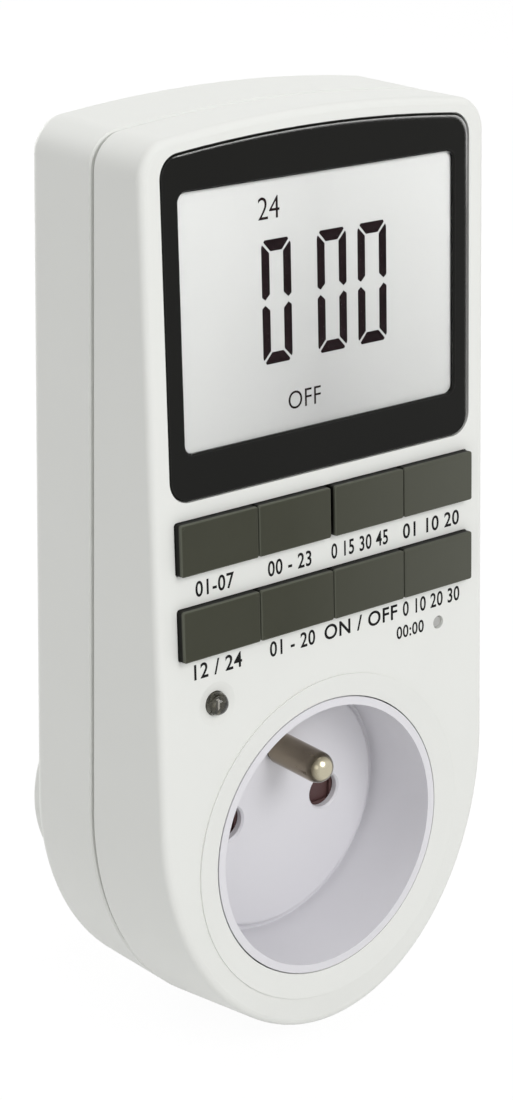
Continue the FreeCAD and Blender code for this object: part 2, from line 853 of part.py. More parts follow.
def earth_pin():
    tip_y = front_y + earth_tip
    z = socket_z + earth_offset
    shaft = rod(pin_radius, 0, z, tip_y + pin_radius, floor_y - neck_reach)
    tip = Part.makeSphere(pin_radius, Vector(0, tip_y + pin_radius, z))
    stem = rod(pin_neck, 0, z, floor_y - neck_reach, carrier_back_y + earth_pin_end)
    stop = rod(earth_stop, 0, z, carrier_back_y - earth_stop_thick, carrier_back_y)
    return stem.fuse(shaft).fuse(tip).fuse(stop).removeSplitter()


def safety_shutter():
    """Plate with a tongue; its two holes meet the socket's when it is pushed down."""
    y0 = floor_back_y + shutter_play
    y1 = y0 + shutter_thick
    plate = box(-shutter_half, shutter_half, y0, y1, socket_z + shutter_low, socket_z + shutter_high)
    tongue = box(-tongue_half, tongue_half, y0, y1, socket_z + shutter_low, socket_z + tongue_high)
    plate = plate.fuse(tongue)
    foot_z = socket_z + shutter_low
    foot = box(-seat_half, seat_half, y0, y0 + seat_depth, foot_z, foot_z + seat_high)
    plate = plate.fuse(foot)
    start = y0 - past
    end = y0 + seat_depth + past
    hole_z = socket_z + shutter_travel
    for side in (-1, 1):
        x = side * hole_offset
        plate = plate.cut(rod(hole_radius + shutter_play, x, hole_z, start, end))
        ramp = box(x - shutter_ramp_half, x + shutter_ramp_half, start, y0 + shutter_ramp_deep,
                   socket_z - shutter_ramp_half, hole_z)
        plate = plate.cut(ramp)
    slot_low = socket_z + earth_offset
    slot_top = slot_low + shutter_travel
    slot = rod(slot_half, 0, slot_low, start, end)
    slot = slot.fuse(rod(slot_half, 0, slot_top, start, end))
    slot = slot.fuse(box(-slot_half, slot_half, start, end, slot_low, slot_top))
    return largest(plate.cut(slot))


def shutter_spring():
    """Compression spring under the shutter, one unbroken wire."""
    height = shutter_low - spring_low - 2 * (spring_wire + spring_play)
    pitch = height / spring_turns
    helix = Part.makeHelix(pitch, height, spring_coil)
    start = Vector(spring_coil, 0, 0)
    tangent = Vector(0, 1, pitch / (2 * math.pi * spring_coil))
    section = Part.Wire(Part.makeCircle(spring_wire, start, tangent))
    wire = Part.Wire(helix).makePipeShell([section], True, True)
    y = floor_back_y + shutter_play + seat_depth / 2
    wire.translate(Vector(0, y, socket_z + spring_low + spring_wire + spring_play))
    print("spring: least gap between turns", round(pitch - 2 * spring_wire, 2), "mm")
    return wire


def contact_carrier():
    block = rod(carrier_radius, 0, socket_z, floor_back_y, carrier_back_y)
    start = floor_back_y - past
    pocket_back = floor_back_y + shutter_play + shutter_thick + shutter_play / 2
    end = carrier_back_y + past
    half = shutter_half + guide_play
    low = socket_z + shutter_low - shutter_travel - guide_play
    block = block.cut(box(-half, half, start, pocket_back, low, socket_z + shutter_high + guide_play))
    half = tongue_half + guide_play
    block = block.cut(box(-half, half, start, pocket_back, socket_z, socket_z + carrier_radius + past))
    half = seat_half + seat_play
    seat_back = floor_back_y + shutter_play + seat_depth + seat_play
    seat_top = socket_z + shutter_low + seat_high + seat_play + shutter_play
    block = block.cut(box(-half, half, start, seat_back, socket_z + spring_low, seat_top))
    half = leaf_half + leaf_play
    for side in (-1, 1):
        x = side * hole_offset
        chamber_front = floor_back_y + leaf_room_front
        block = block.cut(box(x - half, x + half, chamber_front, end, socket_z - half, socket_z + half))
    z = socket_z + earth_offset
    stop_front = carrier_back_y - earth_stop_thick - pin_play
    block = block.cut(rod(pin_neck + pin_play, 0, z, start, end))
    block = block.cut(rod(earth_stop + pin_play, 0, z, stop_front, end))
    return largest(block)


def socket_contact(side):
    """Sprung receptacle for one pin of the plug that is put in; the pin passes through its foot."""
    x = side * hole_offset
    inner = leaf_gap / 2
    y1 = carrier_back_y
    y0 = floor_back_y + contact_set
    foot = box(x - foot_half, x + foot_half, y1 - leaf_thick, y1, socket_z - leaf_half, socket_z + leaf_half)
    leaf_top = leaf_half - leaf_narrow
    for edge in (x - inner - leaf_thick, x + inner):
        foot = foot.fuse(box(edge, edge + leaf_thick, y0, y1, socket_z - leaf_top, socket_z + leaf_top))
    foot = foot.cut(rod(pass_radius, x, socket_z, y1 - leaf_thick, y1 + past))
    if side > 0:
        tab = box(x - tab_half, x + tab_half, y1, y1 + tab_thick, socket_z + tab_low, socket_z + tab_top)
        foot = foot.fuse(tab)
    return foot.removeSplitter()


def neutral_bar():
    """Brass strip from the upper, neutral plug pin to the neutral contact."""
    end = carrier_back_y + strap_thick
    strip = box(-bar_reach, strap_half, carrier_back_y, end, socket_z - leaf_half, hole_offset + bar_rise)
    return strip.cut(rod(pass_radius, -hole_offset, socket_z, carrier_back_y - past, end + past))


def live_terminal():
    """Brass plate on the lower, live plug pin."""
    z = -hole_offset
    end = carrier_back_y + strap_thick
    return box(-strap_half, strap_half, carrier_back_y, end, z - strap_half, z + strap_half)


def plug_pins():
    """The two round pins, one above the other, each with a collar inside the plug's end."""
    pins = []
    for side in (-1, 1):
        z = side * hole_offset
        stem = rod(pin_neck, 0, z, carrier_back_y + strap_thick, neck_reach)
        shaft = rod(pin_radius, 0, z, neck_reach, pin_length - pin_nose)
        nose = cone(pin_radius, pin_radius - pin_nose_in, 0, z, pin_length - pin_nose, pin_length)
        collar = rod(pin_collar, 0, z, -boss_face - pin_collar_thick, -boss_face)
        pins.append(stem.fuse(shaft).fuse(nose).fuse(collar).removeSplitter())
    return Part.makeCompound(pins)


def earth_clips():
    """Bent strap with the two earth clips at the sides of the plug."""
    y0 = clip_far
    y1 = clip_near
    reach = boss_radius - clip_set
    tip = reach - clip_tip_in
    bow = reach + clip_bow
    middle = (y0 + y1) / 2
    strap = box(-clip_half, clip_half, y0, y0 + clip_thick, strap_short - reach, reach - strap_short)
    for side in (-1, 1):
        outer = [
            Vector(0, y0, reach - clip_thick),
            Vector(0, y0, reach),
            Vector(0, middle, bow),
            Vector(0, y1, tip),
            Vector(0, y1, tip - clip_thick),
            Vector(0, middle, bow - clip_thick),
            Vector(0, y0, reach - clip_thick),
        ]
        face = Part.Face(Part.makePolygon(outer))
        face.translate(Vector(-clip_half, 0, 0))
        leaf = face.extrude(Vector(2 * clip_half, 0, 0))
        strap = strap.fuse(leaf if side > 0 else leaf.mirror(Vector(0, 0, 0), Vector(0, 0, 1)))
    return quarter(largest(strap))


def rear_earth_contact():
    """Slit tube behind the plug's earth hole."""
    y0 = clip_far + clip_thick
    tube = rod(tube_radius, 0, earth_offset, y0, -boss_face)
    tube = tube.cut(rod(pin_radius + pin_play, 0, earth_offset, y0 + tube_floor, 0))
    slit_top = earth_offset + tube_radius + past
    slit = box(-tube_slit_half, tube_slit_half, y0 + tube_slit_start, 0, earth_offset, slit_top)
    return quarter(tube.cut(slit))


def earth_link():
    """Bent strip from the socket's earth pin, past the upper plug pin, down to the plug's earth strap."""
    y0 = carrier_back_y + earth_pin_end
    y1 = back_inner_y - link_room
    foot = hole_offset + pin_neck + link_gap
    side = pin_neck + link_gap + link_out
    side_end = side + link_wide
    upright = box(-strap_half, strap_half, y0, y1, foot, socket_z + earth_offset + link_rise)
    shelf = box(-strap_half, side_end, y1 - link_lap, clip_far, foot, foot + link_thick)
    leg = box(side, side_end, clip_far - link_thick, clip_far, link_foot, foot + link_thick)
    return upright.fuse(shelf).fuse(leg).removeSplitter()


def power_board():
    board = box(-power_half, power_half, power_front_y, power_back_y, power_low, power_high)
    for x, z in power_posts():
        board = board.cut(rod(pilot_radius + pilot_play, x, z, power_front_y - past, power_back_y + past))
    return board


def board_place(place):
    """Point on the power board's front face, from shares of its half width and its height."""
    return place[0] * power_half, power_low + place[1] * (power_high - power_low)


def board_block(place, wide, long, high, corner):
    """Upright block on the power board, with rounded corners."""
    x, z = board_place(place)
    block = box(x - wide / 2, x + wide / 2, power_front_y - high, power_front_y, z - long / 2, z + long / 2)
    upright = [e for e in block.Edges if abs(e.tangentAt(e.FirstParameter).y) > 0.9]
    return block.makeFillet(corner, upright)


def relay():
    return board_block(relay_at, relay_wide, relay_long, relay_high, relay_round)


def film_capacitor():
    return board_block(film_at, film_wide, film_long, film_high, film_round)


def electrolytic_capacitor():
    x, z = board_place(can_at)
    top = power_front_y - can_high
    can = rod(can_radius, x, z, top, power_front_y)
    return can.makeFillet(can_round, rims_at(can, top))


def varistor():
    x, z = board_place(disc_at)
    y = power_front_y - disc_lift
    disc = bar(disc_radius, (x - disc_thick / 2, y, z), (x + disc_thick / 2, y, z))
    for side in (-1, 1):
        disc = disc.fuse(rod(leg_radius, x, z + side * leg_reach, y, power_front_y))
    return disc


def backup_battery():
    x, z = board_place(battery_at)
    return rod(battery_radius, x, z, power_front_y - battery_high, power_front_y)


def lying_row(place, radius, long, pitch, count):
    """Equal round parts lying in a row on the power board."""
    x, first = board_place(place)
    y = power_front_y - radius - bead_lift
    group = []
    for number in range(count):
        z = first + pitch * number
        group.append(bar(radius, (x - long / 2, y, z), (x + long / 2, y, z)))
    return Part.makeCompound(group)


def diodes():
    return lying_row(diode_at, diode_radius, diode_long, diode_pitch, diode_count)


def resistors():
    return lying_row(resistor_at, resistor_radius, resistor_long, resistor_pitch, resistor_count)


def board_lead():
    """Flat cable from the front board to the power board, with a slack bend."""
    z = socket_z + cable_at
    start = front_y + cable_at * math.tan(math.radians(lean_deg)) + board_depth + board_thick + cable_play
    end = power_front_y
    middle = (start + end) / 2
    top = [
        Vector(-cable_half, start, z),
        Vector(-cable_half, middle, z + cable_rise),
        Vector(-cable_half, end, z),
    ]
    bottom = [Vector(p.x, p.y, p.z - cable_thick) for p in top]
    edges = [
        Part.Arc(top[0], top[1], top[2]).toShape(),
        Part.makeLine(top[2], bottom[2]),
        Part.Arc(bottom[2], bottom[1], bottom[0]).toShape(),
        Part.makeLine(bottom[0], top[0]),
    ]
    return Part.Face(Part.Wire(Part.__sortEdges__(edges))).extrude(Vector(2 * cable_half, 0, 0))


def wire_run(points, radius):
    """Round wire through a list of points, with ball joints at its bends."""
    wire = None
    for number in range(len(points) - 1):
        piece = bar(radius, points[number], points[number + 1])
        wire = piece if wire is None else wire.fuse(piece)
        if number > 0:
            wire = wire.fuse(Part.makeSphere(radius, Vector(*points[number])))
    return wire.removeSplitter()


def live_wire():
    """From the live plug pin's terminal, round the contact block, up to the power board."""
    lane = joint_y + 4.0
    far = power_half - 2.3
    end_x = power_half - 3.5
    end_z = power_low + 7.5
    points = [
        (strap_half, wire_y, -hole_offset),
        (hole_offset + 1.5, wire_y, -hole_offset),
        (hole_offset + 6.5, wire_y, -1.0),
        (case_low_x, wire_y, 3.0),
        (far, lane, 12.0),
        (far, lane, power_low - 6.0),
        (end_x, power_front_y - 2.2, end_z),
        (end_x, power_front_y, end_z),
    ]
    return wire_run(points, live_radius)


def load_wire():
    """From the relay back down to the live contact."""
    run_y = back_inner_y - load_radius - wire_play
    lift = power_front_y - 2.4
    top_x = relay_at[0] * power_half
    points = [
        (top_x, power_front_y, power_low + 4.5),
        (top_x, lift, power_low + 4.5),
        (top_x, lift, power_low - 5.8),
        (hole_offset + 2.0, run_y, power_low - 9.0),
        (hole_offset, run_y, socket_z + tab_top + 1.0),
        (hole_offset, run_y, socket_z + tab_top - 2.0),
    ]
    return wire_run(points, load_radius)


def neutral_wire():
    """From the neutral bar up to the power board."""
    lift = power_front_y - 2.4
    far = film_at[0] * power_half
    points = [
        (-bar_reach, wire_y, socket_z - 0.5),
        (-bar_reach - 2.2, wire_y, socket_z - 0.5),
        (far, wire_y, power_low - 9.0),
        (far, lift, power_low - 5.0),
        (far, lift, power_low + 7.0),
        (far, power_front_y, power_low + 7.0),
    ]
    return wire_run(points, neutral_radius)


def screw(head_r, head_h, shank_r, x, z, head_y, length):
    """Screw driven from the back, towards the front."""
    head = rod(head_r, x, z, head_y - head_h, head_y)
    head = head.makeFillet(head_h * head_edge_share, rims_at(head, head_y))
    shank = rod(shank_r, x, z, head_y - head_h - length, head_y - head_h)
    body = head.fuse(shank)
    long_half = head_r * slot_long_share / 2
    thin_half = head_r * slot_thin_share
    start = head_y - head_h * slot_deep_share
    end = head_y + past
    cross = box(x - long_half, x + long_half, start, end, z - thin_half, z + thin_half)
    cross = cross.fuse(box(x - thin_half, x + thin_half, start, end, z - long_half, z + long_half))
    return body.cut(cross).removeSplitter()


def case_screws():
    group = []
    head_y = back_y - head_hole_deep + head_high
    length = head_y - head_high - joint_y + case_screw_reach
    for x, z in case_posts():
        group.append(screw(head_radius, head_high, case_pilot - screw_play, x, z, head_y, length))
    return Part.makeCompound(group)


def board_screws():
    group = []
    head_y = front_y + board_depth + board_thick + small_head_high
    for u, w in board_posts():
        shank = pilot_radius - screw_play
        part = screw(small_head_radius, small_head_high, shank, u, socket_z + w, head_y, board_screw_long)
        group.append(lean(part))
    return Part.makeCompound(group)


def socket_screws():
    group = []
    head_y = front_y + collar_depth + flange_thick + small_head_high
    for side in (-1, 1):
        group.append(screw(small_head_radius, small_head_high, pilot_radius - screw_play,
                           side * ear_x, socket_z + ear_z, head_y, ear_screw_long))
    return Part.makeCompound(group)


def power_screws():
    """Screws that hold the power board, driven from the front."""
    group = []
    for x, z in power_posts():
        part = screw(small_head_radius, small_head_high, pilot_radius - screw_play, x, z, 0, power_screw_long)
        part = part.mirror(Vector(0, 0, 0), Vector(0, 1, 0))
        part.translate(Vector(0, power_front_y - small_head_high, 0))
        group.append(part)
    return Part.makeCompound(group)


def main():
    save(front_housing(), "front_housing")
    save(rear_housing(), "rear_housing")
    save(display_frame(), "display_frame")
    save(display_window(), "display_window")
    save(lcd_panel(), "lcd_panel")
    save(lcd_holder(), "lcd_holder")
    save(contact_strip(), "contact_strip")
    names = (
        (upper_row, centre_gap, ("key_week", "key_hour", "key_minute", "key_recall")),
        (lower_row, key_gap, ("key_clock", "key_timer", "key_mode", "key_random")),
    )
    for row, middle, row_names in names:
        for (left, right), name in zip(row_spans(middle), row_names):
            save(key(left, right, row), name)
    save(keypad_mat(), "keypad_mat")
    save(control_board(), "control_board")
    save(indicator_led(), "indicator_led")
    save(reset_button(), "reset_button")
    save(reset_switch(), "reset_switch")
    save(clock_chip(), "clock_chip")
    save(crystal(), "crystal")
    save(socket_insert(), "socket_insert")
    save(earth_pin(), "earth_pin")
    save(safety_shutter(), "safety_shutter")
    save(shutter_spring(), "shutter_spring")
    save(contact_carrier(), "contact_carrier")
    save(socket_contact(1), "live_contact")
    save(socket_contact(-1), "neutral_contact")
    save(neutral_bar(), "neutral_bar")
    save(live_terminal(), "live_terminal")
    save(plug_pins(), "plug_pins")
    save(earth_clips(), "earth_clips")
    save(rear_earth_contact(), "rear_earth_contact")
    save(earth_link(), "earth_link")
    save(power_board(), "power_board")
    save(relay(), "relay")
    save(film_capacitor(), "film_capacitor")
    save(electrolytic_capacitor(), "electrolytic_capacitor")
    save(varistor(), "varistor")
    save(backup_battery(), "backup_battery")
    save(diodes(), "diodes")
    save(resistors(), "resistors")
    save(board_lead(), "board_lead")
    save(live_wire(), "live_wire")
    save(load_wire(), "load_wire")
    save(neutral_wire(), "neutral_wire")
    save(case_screws(), "case_screws")
    save(board_screws(), "board_screws")
    save(socket_screws(), "socket_screws")
    save(power_screws(), "power_screws")


main()
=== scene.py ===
import json
import math

import bmesh
import bpy
from mathutils import Matrix, Vector


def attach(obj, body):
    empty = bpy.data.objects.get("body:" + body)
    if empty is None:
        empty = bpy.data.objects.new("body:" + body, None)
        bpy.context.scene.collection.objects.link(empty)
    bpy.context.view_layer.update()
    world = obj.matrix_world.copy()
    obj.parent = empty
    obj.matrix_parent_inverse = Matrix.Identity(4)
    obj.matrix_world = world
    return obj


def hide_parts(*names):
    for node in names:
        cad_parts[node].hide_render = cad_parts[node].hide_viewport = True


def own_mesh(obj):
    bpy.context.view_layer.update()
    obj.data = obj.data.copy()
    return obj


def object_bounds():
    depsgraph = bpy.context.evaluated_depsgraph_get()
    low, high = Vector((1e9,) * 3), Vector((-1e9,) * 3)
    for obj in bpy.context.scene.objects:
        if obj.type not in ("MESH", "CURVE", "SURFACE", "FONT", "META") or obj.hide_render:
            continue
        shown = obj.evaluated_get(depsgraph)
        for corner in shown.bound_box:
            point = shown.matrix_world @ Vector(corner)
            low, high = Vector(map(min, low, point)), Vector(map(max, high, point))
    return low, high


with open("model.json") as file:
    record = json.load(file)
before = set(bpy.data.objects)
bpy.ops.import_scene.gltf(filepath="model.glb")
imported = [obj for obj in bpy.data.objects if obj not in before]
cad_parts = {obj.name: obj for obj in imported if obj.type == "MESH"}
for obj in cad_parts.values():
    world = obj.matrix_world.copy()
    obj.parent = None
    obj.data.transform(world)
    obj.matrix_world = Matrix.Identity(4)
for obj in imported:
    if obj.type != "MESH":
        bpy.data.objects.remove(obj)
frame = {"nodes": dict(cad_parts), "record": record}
cad_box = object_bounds()

# Places and sizes on the object are written in millimetres and made into metres by MM.
MM = 0.001
FRONT_Y = -49.0      # front face on the socket's axis
SOCKET_Z = 6.5       # height of the socket's axis
LEAN = math.radians(3.9)
LCD_DEPTH = 0.8      # display glass, behind the front face
KEY_PROUD = 1.4      # key faces, before the front face
FRONT = Matrix.Translation((0, FRONT_Y * MM, SOCKET_Z * MM)) @ Matrix.Rotation(-LEAN, 4, "X")
OUTWARD = (0.0, -math.cos(LEAN), math.sin(LEAN))     # squarely out of the front


def on_front(across, deep, up):
    """Point given across, into and up the leaning front, in the row frame."""
    return FRONT @ Vector((across * MM, deep * MM, up * MM))


# Materials

NOISE_LOW = 0.3        # most values of a noise lie between these two
NOISE_HIGH = 0.7
EDGE_FULL = 0.82       # agreement of bevelled and true normal on an edge, and beside it
EDGE_NONE = 0.99
# Noise that thins the paler edges: a painted highlight on the keys and the frame, edge wear on the metal
# parts and the board
HIGHLIGHT_AND_WEAR_SCALE = 900.0
HIGHLIGHT_AND_WEAR_LEAST = 0.45
PATCHES_PER_CLOUD = 5
GRAIN_DEPTH = 0.03 * MM


def link(tree, output, target):
    tree.links.new(output, target)


def noise(tree, coord, scale, detail=2.0, stretch=None):
    """Noise in object coordinates; stretch squeezes it along an axis."""
    node = tree.nodes.new("ShaderNodeTexNoise")
    node.inputs["Scale"].default_value = scale
    node.inputs["Detail"].default_value = detail
    if stretch:
        mapping = tree.nodes.new("ShaderNodeMapping")
        mapping.inputs["Scale"].default_value = stretch
        link(tree, coord.outputs["Object"], mapping.inputs["Vector"])
        link(tree, mapping.outputs["Vector"], node.inputs["Vector"])
    else:
        link(tree, coord.outputs["Object"], node.inputs["Vector"])
    return node


def spread(tree, value, low, high, start=NOISE_LOW, end=NOISE_HIGH):
    """Bring a value from the range start to end into the range low to high."""
    node = tree.nodes.new("ShaderNodeMapRange")
    node.inputs["From Min"].default_value = start
    node.inputs["From Max"].default_value = end
    node.inputs["To Min"].default_value = low
    node.inputs["To Max"].default_value = high
    link(tree, value, node.inputs["Value"])
    return node.outputs["Result"]


def rise(tree, value, start, end):
    """0 up to start, 1 from end."""
    return spread(tree, value, 0.0, 1.0, start, end)


def fall(tree, value, start, end):
    """1 up to start, 0 from end."""
    return spread(tree, value, 1.0, 0.0, start, end)


def join(tree, operation, first, second):
    """Two values joined by a math node."""
    node = tree.nodes.new("ShaderNodeMath")
    node.operation = operation
    link(tree, first, node.inputs[0])
    link(tree, second, node.inputs[1])
    return node.outputs["Value"]


def mix_colours(tree, factor, first, second):
    node = tree.nodes.new("ShaderNodeMix")
    node.data_type = "RGBA"
    link(tree, factor, node.inputs["Factor"])
    for socket, colour in ((node.inputs[6], first), (node.inputs[7], second)):
        if isinstance(colour, tuple):
            socket.default_value = (*colour, 1.0)
        else:
            link(tree, colour, socket)
    return node.outputs[2]


def srgb(red, green, blue):
    """Colour written in 0 to 255 display values, as linear values by the standard curve."""
    made = []
    for value in (red, green, blue):
        part = value / 255
        made.append(part / 12.92 if part <= 0.04045 else ((part + 0.055) / 1.055) ** 2.4)
    return tuple(made)


def shade(colour, factor):
    return tuple(min(1.0, part * factor) for part in colour)


def edge_mask(tree, radius):
    """Near 1 along edges and 0 on flat faces."""
    bevel = tree.nodes.new("ShaderNodeBevel")
    bevel.samples = 4
    bevel.inputs["Radius"].default_value = radius
    geometry = tree.nodes.new("ShaderNodeNewGeometry")
    dot = tree.nodes.new("ShaderNodeVectorMath")
    dot.operation = "DOT_PRODUCT"
    link(tree, bevel.outputs["Normal"], dot.inputs[0])
    link(tree, geometry.outputs["Normal"], dot.inputs[1])
    return fall(tree, dot.outputs["Value"], EDGE_FULL, EDGE_NONE)


def material(name, colour, rough, metallic=0.0, specular=0.5, mottle=0.03, mottle_scale=70.0,
             rough_vary=0.06, grain=0.12, grain_scale=5500.0, stretch=None, edge=None, edge_radius=0.3 * MM):
    """Moulded, painted or drawn surface: clouded colour, uneven gloss and a fine grain."""
    made = bpy.data.materials.new(name)
    made.use_nodes = True
    tree = made.node_tree
    shader = tree.nodes["Principled BSDF"]
    coord = tree.nodes.new("ShaderNodeTexCoord")
    cloud = noise(tree, coord, mottle_scale, 3.0, stretch)
    tone = mix_colours(tree, spread(tree, cloud.outputs["Fac"], 0.0, 1.0),
                       shade(colour, 1 - mottle), shade(colour, 1 + mottle))
    # Paler colour along the edges, thinned by a noise: a painted highlight on the keys and the frame, edge
    # wear on the metal parts and the board
    if edge:
        highlight_and_wear = noise(tree, coord, HIGHLIGHT_AND_WEAR_SCALE, 3.0)
        mask = join(tree, "MULTIPLY", edge_mask(tree, edge_radius),
                    spread(tree, highlight_and_wear.outputs["Fac"], HIGHLIGHT_AND_WEAR_LEAST, 1.0))
        tone = mix_colours(tree, mask, tone, edge)
    link(tree, tone, shader.inputs["Base Color"])
    patch = noise(tree, coord, mottle_scale * PATCHES_PER_CLOUD, 2.0, stretch)
    link(tree, spread(tree, patch.outputs["Fac"], rough - rough_vary, rough + rough_vary),
         shader.inputs["Roughness"])
    fine = noise(tree, coord, grain_scale, 2.0, stretch)
    bump = tree.nodes.new("ShaderNodeBump")
    bump.inputs["Strength"].default_value = grain
    bump.inputs["Distance"].default_value = GRAIN_DEPTH
    link(tree, fine.outputs["Fac"], bump.inputs["Height"])
    link(tree, bump.outputs["Normal"], shader.inputs["Normal"])
    shader.inputs["Metallic"].default_value = metallic
    shader.inputs["Specular IOR Level"].default_value = specular
    return made


def along(tree, vector, direction):
    """Part of a vector that points along a direction."""
    dot = tree.nodes.new("ShaderNodeVectorMath")
    dot.operation = "DOT_PRODUCT"
    dot.inputs[1].default_value = direction
    link(tree, vector, dot.inputs[0])
    return dot.outputs["Value"]


def facing_front(tree):
    """1 where the surface faces squarely out of the front, 0 down its sides."""
    geometry = tree.nodes.new("ShaderNodeNewGeometry")
    return along(tree, geometry.outputs["Normal"], OUTWARD)


def surface_place(tree):
    """A surface point's place in the row frame, whole and split into X, Y and Z."""
    coord = tree.nodes.new("ShaderNodeTexCoord")
    split = tree.nodes.new("ShaderNodeSeparateXYZ")
    link(tree, coord.outputs["Object"], split.inputs["Vector"])
    return coord.outputs["Object"], split.outputs


def shader_and_tone(made):
    """A material's shader and the colour that reaches it."""
    shader = made.node_tree.nodes["Principled BSDF"]
    return shader, shader.inputs["Base Color"].links[0].from_socket


def clear(made, bend):
    """Let light through a material; bend is its index of refraction."""
    shader = made.node_tree.nodes["Principled BSDF"]
    shader.inputs["Transmission Weight"].default_value = 1.0
    shader.inputs["IOR"].default_value = bend
    return made


def grey(level):
    return (level, level, level)


def window_material():
    """Clear polished sheet, thin enough to bend the light hardly at all."""
    made = material("window_clear", (0.98, 0.985, 0.98), 0.03, specular=0.1, rough_vary=0.015, mottle=0.005,
                    grain=0.02)
    return clear(made, 1.02)


def display_material():
    """Pale reflective display glass, with painted shade that makes it greyer in its middle and towards its
    foot.
    """
    half_width = 25.0 * MM
    foot_to_head = (70.0 * MM, 109.0 * MM)
    # Painted shade: greyest low in the middle, palest high at the sides
    foot_middle = grey(0.59)
    foot_side = grey(0.79)
    head_middle = grey(0.9)
    head_side = grey(1.0)
    made = material("display_glass", srgb(198, 198, 197), 0.4, specular=0.12, mottle=0.004, mottle_scale=25,
                    rough_vary=0.008, grain=0.02)
    tree = made.node_tree
    shader, tone = shader_and_tone(made)
    _, split = surface_place(tree)
    aside = tree.nodes.new("ShaderNodeMath")
    aside.operation = "ABSOLUTE"
    link(tree, split["X"], aside.inputs[0])
    sideways = rise(tree, aside.outputs["Value"], 0.0, half_width)
    foot = mix_colours(tree, sideways, foot_middle, foot_side)
    head = mix_colours(tree, sideways, head_middle, head_side)
    # Painted shade multiplied into the glass's colour
    both = tree.nodes.new("ShaderNodeMix")
    both.data_type = "RGBA"
    both.blend_type = "MULTIPLY"
    both.inputs["Factor"].default_value = 1.0
    link(tree, tone, both.inputs[6])
    link(tree, mix_colours(tree, rise(tree, split["Z"], *foot_to_head), foot, head), both.inputs[7])
    link(tree, both.outputs[2], shader.inputs["Base Color"])
    return made


def frame_material():
    """Glossy black, with the light caught in a thin line inside its right and upper edges."""
    line_reach = 0.8 * MM
    light_side = (0.8, 0.0, 0.6)         # up and to the right
    line_start = (0.16, 0.26)            # lean of the rounded edge towards that side
    line_end = (0.34, 0.44)
    flat_face = (0.8, 0.95)              # how squarely the surface faces the front
    right_edge = (26.2 * MM, 26.8 * MM)
    upper_edge = (105.5 * MM, 106.0 * MM)
    dim_to_bright = (95.0 * MM, 108.0 * MM)
    dim = srgb(160, 160, 157)
    bright = srgb(250, 250, 248)
    # The edge colour is a faint painted highlight along every edge; the thin line of caught light is painted
    # too
    made = material("frame_black", srgb(22, 22, 20), 0.25, specular=0.1, mottle=0.05, grain=0.02,
                    rough_vary=0.02, edge=srgb(58, 58, 56), edge_radius=0.2 * MM)
    tree = made.node_tree
    shader, tone = shader_and_tone(made)
    _, split = surface_place(tree)
    bevel = tree.nodes.new("ShaderNodeBevel")
    bevel.samples = 8
    bevel.inputs["Radius"].default_value = line_reach
    lean = along(tree, bevel.outputs["Normal"], light_side)
    line = join(tree, "MULTIPLY", rise(tree, lean, *line_start), fall(tree, lean, *line_end))
    outer = join(tree, "MAXIMUM", rise(tree, split["X"], *right_edge), rise(tree, split["Z"], *upper_edge))
    line = join(tree, "MULTIPLY", line, outer)
    line = join(tree, "MULTIPLY", line, rise(tree, facing_front(tree), *flat_face))
    caught = mix_colours(tree, rise(tree, split["Z"], *dim_to_bright), dim, bright)
    link(tree, mix_colours(tree, line, tone, caught), shader.inputs["Base Color"])
    return made


def key_material():
    """Olive rubbery caps: painted highlight along the edges, painted shade almost black down their sides,
    painted light paler to the right.
    """
    face = (-FRONT_Y * math.cos(LEAN) + SOCKET_Z * math.sin(LEAN) + KEY_PROUD) * MM
    lit_band = (face - 0.6 * MM, face - 0.35 * MM)
    lit_facing = (0.03, 0.3)             # how squarely the surface faces the front
    round_edge = (0.75, 0.98)
    left_to_right = (-8.0 * MM, 26.0 * MM)
    # Painted highlight on the rounded edges
    painted_edge_highlight = srgb(92, 94, 83)
    # Painted light: paler towards the right
    painted_light_right = srgb(82, 83, 74)
    # Painted shade down the sides
    painted_side_shade = srgb(20, 20, 17)
    # The edge colour given here is a painted highlight along every edge of the caps
    made = material("key_olive", srgb(61, 62, 51), 0.55, mottle=0.03, mottle_scale=110, grain=0.2,
                    rough_vary=0.03, specular=0.15, edge=srgb(122, 123, 108), edge_radius=0.25 * MM)
    tree = made.node_tree
    shader, tone = shader_and_tone(made)
    point, split = surface_place(tree)
    facing = facing_front(tree)
    # Painted highlight where the caps round off at their edges
    tone = mix_colours(tree, fall(tree, facing, *round_edge), tone, painted_edge_highlight)
    # Painted light, paler towards the right
    tone = mix_colours(tree, rise(tree, split["X"], *left_to_right), tone, painted_light_right)
    near_face = rise(tree, along(tree, point, OUTWARD), *lit_band)
    lit = join(tree, "MAXIMUM", rise(tree, facing, *lit_facing), near_face)
    # Painted shade: nearly black where the surface neither faces the front nor lies near the key face
    link(tree, mix_colours(tree, lit, painted_side_shade, tone), shader.inputs["Base Color"])
    return made


